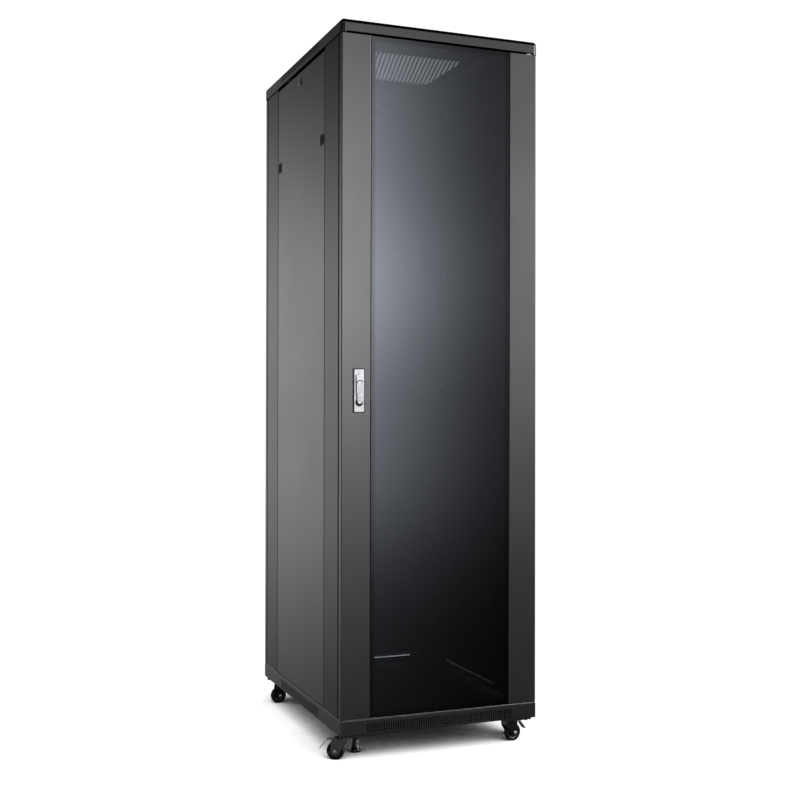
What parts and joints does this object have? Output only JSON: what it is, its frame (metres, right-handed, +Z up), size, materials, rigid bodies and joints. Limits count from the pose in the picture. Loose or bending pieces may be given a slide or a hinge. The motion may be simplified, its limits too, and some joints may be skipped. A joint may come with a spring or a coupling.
{
  "type": "network server rack cabinet",
  "caption": "Floor-standing 19-inch rack cabinet with a glass front door, steel rear door, lift-off side panels, a vented roof, casters and levelling feet.",
  "frame": {"origin": "on the floor under the middle of the cabinet", "axes": "+X to the right seen from the front, +Y towards the rear door, +Z up; the glass door faces -Y"},
  "size_m": [0.6375, 0.8136, 2.055],
  "materials": {
    "powder_coat": "fine satin powder coat, dark charcoal",
    "zinc_steel": "zinc plated",
    "tinted_glass": "smoked toughened glass",
    "rubber": "matt",
    "black_plastic": "moulded",
    "bright_metal": "satin chrome",
    "black_steel": "black lacquered"
  },
  "bodies": {
    "frame": {"base_front_rail": "powder_coat", "base_rear_rail": "powder_coat", "base_side_rails": "powder_coat", "floor_plate": "powder_coat", "floor_brackets": "powder_coat", "cable_covers": "powder_coat", "corner_plates": "powder_coat", "post_front_left": "powder_coat", "post_front_right": "powder_coat", "post_rear_left": "powder_coat", "post_rear_right": "powder_coat", "top_rails": "powder_coat", "cross_rails": "powder_coat", "rack_rail_front_left": "powder_coat", "rack_rail_front_right": "powder_coat", "rack_rail_rear_left": "powder_coat", "rack_rail_rear_right": "powder_coat", "top_cover": "powder_coat", "roof_vent_plate": "powder_coat", "hinge_pins": "zinc_steel", "frame_fasteners": "zinc_steel", "caster_stems": "zinc_steel"},
    "front_door": {"door_stile_left": "powder_coat", "door_stile_right": "powder_coat", "door_rails": "powder_coat", "door_glass": "tinted_glass", "glass_gasket": "rubber", "door_end_blocks": "powder_coat", "handle_rim": "black_plastic", "handle_plate": "bright_metal"},
    "handle_head": {"handle_hub": "bright_metal", "handle_cam": "zinc_steel"},
    "handle_lever": {"handle_lever": "bright_metal"},
    "key_cylinder": {"key_cylinder": "bright_metal"},
    "rear_door": {"rear_door_panel": "powder_coat", "rear_door_stiffeners": "powder_coat", "rear_door_blocks": "powder_coat"},
    "rear_lock": {"rear_lock": "bright_metal"},
    "left_panel": {"side_panel_left": "powder_coat"},
    "right_panel": {"side_panel_right": "powder_coat"},
    "left_panel_lock": {"side_lock_left": "bright_metal"},
    "right_panel_lock": {"side_lock_right": "bright_metal"},
    "left_front_latch": {"latch_left_front": "black_plastic"},
    "left_rear_latch": {"latch_left_rear": "black_plastic"},
    "right_front_latch": {"latch_right_front": "black_plastic"},
    "right_rear_latch": {"latch_right_rear": "black_plastic"},
    "front_left_fork": {"caster_fork_front_left": "black_steel"},
    "front_left_wheel": {"caster_wheel_front_left": "black_plastic"},
    "front_left_pedal": {"brake_pedal_front_left": "zinc_steel"},
    "front_right_fork": {"caster_fork_front_right": "black_steel"},
    "front_right_wheel": {"caster_wheel_front_right": "black_plastic"},
    "front_right_pedal": {"brake_pedal_front_right": "zinc_steel"},
    "rear_left_fork": {"caster_fork_rear_left": "black_steel"},
    "rear_left_wheel": {"caster_wheel_rear_left": "black_plastic"},
    "rear_right_fork": {"caster_fork_rear_right": "black_steel"},
    "rear_right_wheel": {"caster_wheel_rear_right": "black_plastic"},
    "front_left_foot": {"levelling_foot_front_left": "black_steel"},
    "front_right_foot": {"levelling_foot_front_right": "black_steel"},
    "rear_left_foot": {"levelling_foot_rear_left": "black_steel"},
    "rear_right_foot": {"levelling_foot_rear_right": "black_steel"}
  },
  "joints": [
    {"name": "front_door_swing", "type": "hinge", "parent": "frame", "child": "front_door", "pos_m": [0.288, -0.39, 1.069], "axis": [0, 0, 1], "range_deg": [0, 180]},
    {"name": "handle_turn", "type": "hinge", "parent": "front_door", "child": "handle_head", "pos_m": [-0.249, -0.40725, 1.064], "axis": [0, -1, 0], "range_deg": [0, 90]},
    {"name": "handle_lift", "type": "hinge", "parent": "handle_head", "child": "handle_lever", "pos_m": [-0.249, -0.40725, 1.055], "axis": [-1, 0, 0], "range_deg": [0, 28]},
    {"name": "key_turn", "type": "hinge", "parent": "handle_lever", "child": "key_cylinder", "pos_m": [-0.249, -0.40725, 1.016], "axis": [0, 1, 0], "range_deg": [0, 90]},
    {"name": "rear_door_swing", "type": "hinge", "parent": "frame", "child": "rear_door", "pos_m": [-0.288, 0.39, 1.069], "axis": [0, 0, 1], "range_deg": [0, 180]},
    {"name": "rear_lock_turn", "type": "hinge", "parent": "rear_door", "child": "rear_lock", "pos_m": [0.26, 0.4, 1.0295], "axis": [0, 1, 0], "range_deg": [0, 90]},
    {"name": "left_panel_lift_off", "type": "slide", "parent": "frame", "child": "left_panel", "axis": [-1, 0, 0], "range_m": [0, 0.15]},
    {"name": "left_panel_lock_turn", "type": "hinge", "parent": "left_panel", "child": "left_panel_lock", "pos_m": [-0.3, 0, 1.9796], "axis": [1, 0, 0], "range_deg": [0, 90]},
    {"name": "left_front_latch_slide", "type": "slide", "parent": "left_panel", "child": "left_front_latch", "axis": [0, 1, 0], "range_m": [0, 0.008], "stiffness_N_per_m": 150},
    {"name": "left_rear_latch_slide", "type": "slide", "parent": "left_panel", "child": "left_rear_latch", "axis": [0, -1, 0], "range_m": [0, 0.008], "stiffness_N_per_m": 150},
    {"name": "right_panel_lift_off", "type": "slide", "parent": "frame", "child": "right_panel", "axis": [1, 0, 0], "range_m": [0, 0.15]},
    {"name": "right_panel_lock_turn", "type": "hinge", "parent": "right_panel", "child": "right_panel_lock", "pos_m": [0.3, 0, 1.9796], "axis": [1, 0, 0], "range_deg": [0, 90]},
    {"name": "right_front_latch_slide", "type": "slide", "parent": "right_panel", "child": "right_front_latch", "axis": [0, 1, 0], "range_m": [0, 0.008], "stiffness_N_per_m": 150},
    {"name": "right_rear_latch_slide", "type": "slide", "parent": "right_panel", "child": "right_rear_latch", "axis": [0, -1, 0], "range_m": [0, 0.008], "stiffness_N_per_m": 150},
    {"name": "front_left_swivel", "type": "hinge", "parent": "frame", "child": "front_left_fork", "pos_m": [-0.276, -0.342, 0.066], "axis": [0, 0, 1], "continuous": true},
    {"name": "front_left_roll", "type": "hinge", "parent": "front_left_fork", "child": "front_left_wheel", "pos_m": [-0.29126, -0.33246, 0.025], "axis": [-0.5299, -0.848, 0], "continuous": true},
    {"name": "front_left_brake_release", "type": "hinge", "parent": "front_left_fork", "child": "front_left_pedal", "pos_m": [-0.29466, -0.33034, 0.0565], "axis": [0.5299, 0.848, 0], "range_deg": [0, 15]},
    {"name": "front_right_swivel", "type": "hinge", "parent": "frame", "child": "front_right_fork", "pos_m": [0.238, -0.342, 0.066], "axis": [0, 0, 1], "continuous": true},
    {"name": "front_right_roll", "type": "hinge", "parent": "front_right_fork", "child": "front_right_wheel", "pos_m": [0.25554, -0.33795, 0.025], "axis": [-0.225, 0.9744, 0], "continuous": true},
    {"name": "front_right_brake_release", "type": "hinge", "parent": "front_right_fork", "child": "front_right_pedal", "pos_m": [0.25944, -0.33705, 0.0565], "axis": [0.225, -0.9744, 0], "range_deg": [0, 15]},
    {"name": "rear_left_swivel", "type": "hinge", "parent": "frame", "child": "rear_left_fork", "pos_m": [-0.252, 0.342, 0.066], "axis": [0, 0, 1], "continuous": true},
    {"name": "rear_left_roll", "type": "hinge", "parent": "rear_left_fork", "child": "rear_left_wheel", "pos_m": [-0.26987, 0.33981, 0.025], "axis": [0.1219, -0.9925, 0], "continuous": true},
    {"name": "rear_right_swivel", "type": "hinge", "parent": "frame", "child": "rear_right_fork", "pos_m": [0.252, 0.342, 0.066], "axis": [0, 0, 1], "continuous": true},
    {"name": "rear_right_roll", "type": "hinge", "parent": "rear_right_fork", "child": "rear_right_wheel", "pos_m": [0.23417, 0.34451, 0.025], "axis": [-0.1392, -0.9903, 0], "continuous": true},
    {"name": "front_left_foot_level", "type": "slide", "parent": "frame", "child": "front_left_foot", "axis": [0, 0, 1], "range_m": [-0.012, 0.015]},
    {"name": "front_right_foot_level", "type": "slide", "parent": "frame", "child": "front_right_foot", "axis": [0, 0, 1], "range_m": [-0.012, 0.015]},
    {"name": "rear_left_foot_level", "type": "slide", "parent": "frame", "child": "rear_left_foot", "axis": [0, 0, 1], "range_m": [-0.012, 0.015]},
    {"name": "rear_right_foot_level", "type": "slide", "parent": "frame", "child": "rear_right_foot", "axis": [0, 0, 1], "range_m": [-0.012, 0.015]}
  ]
}
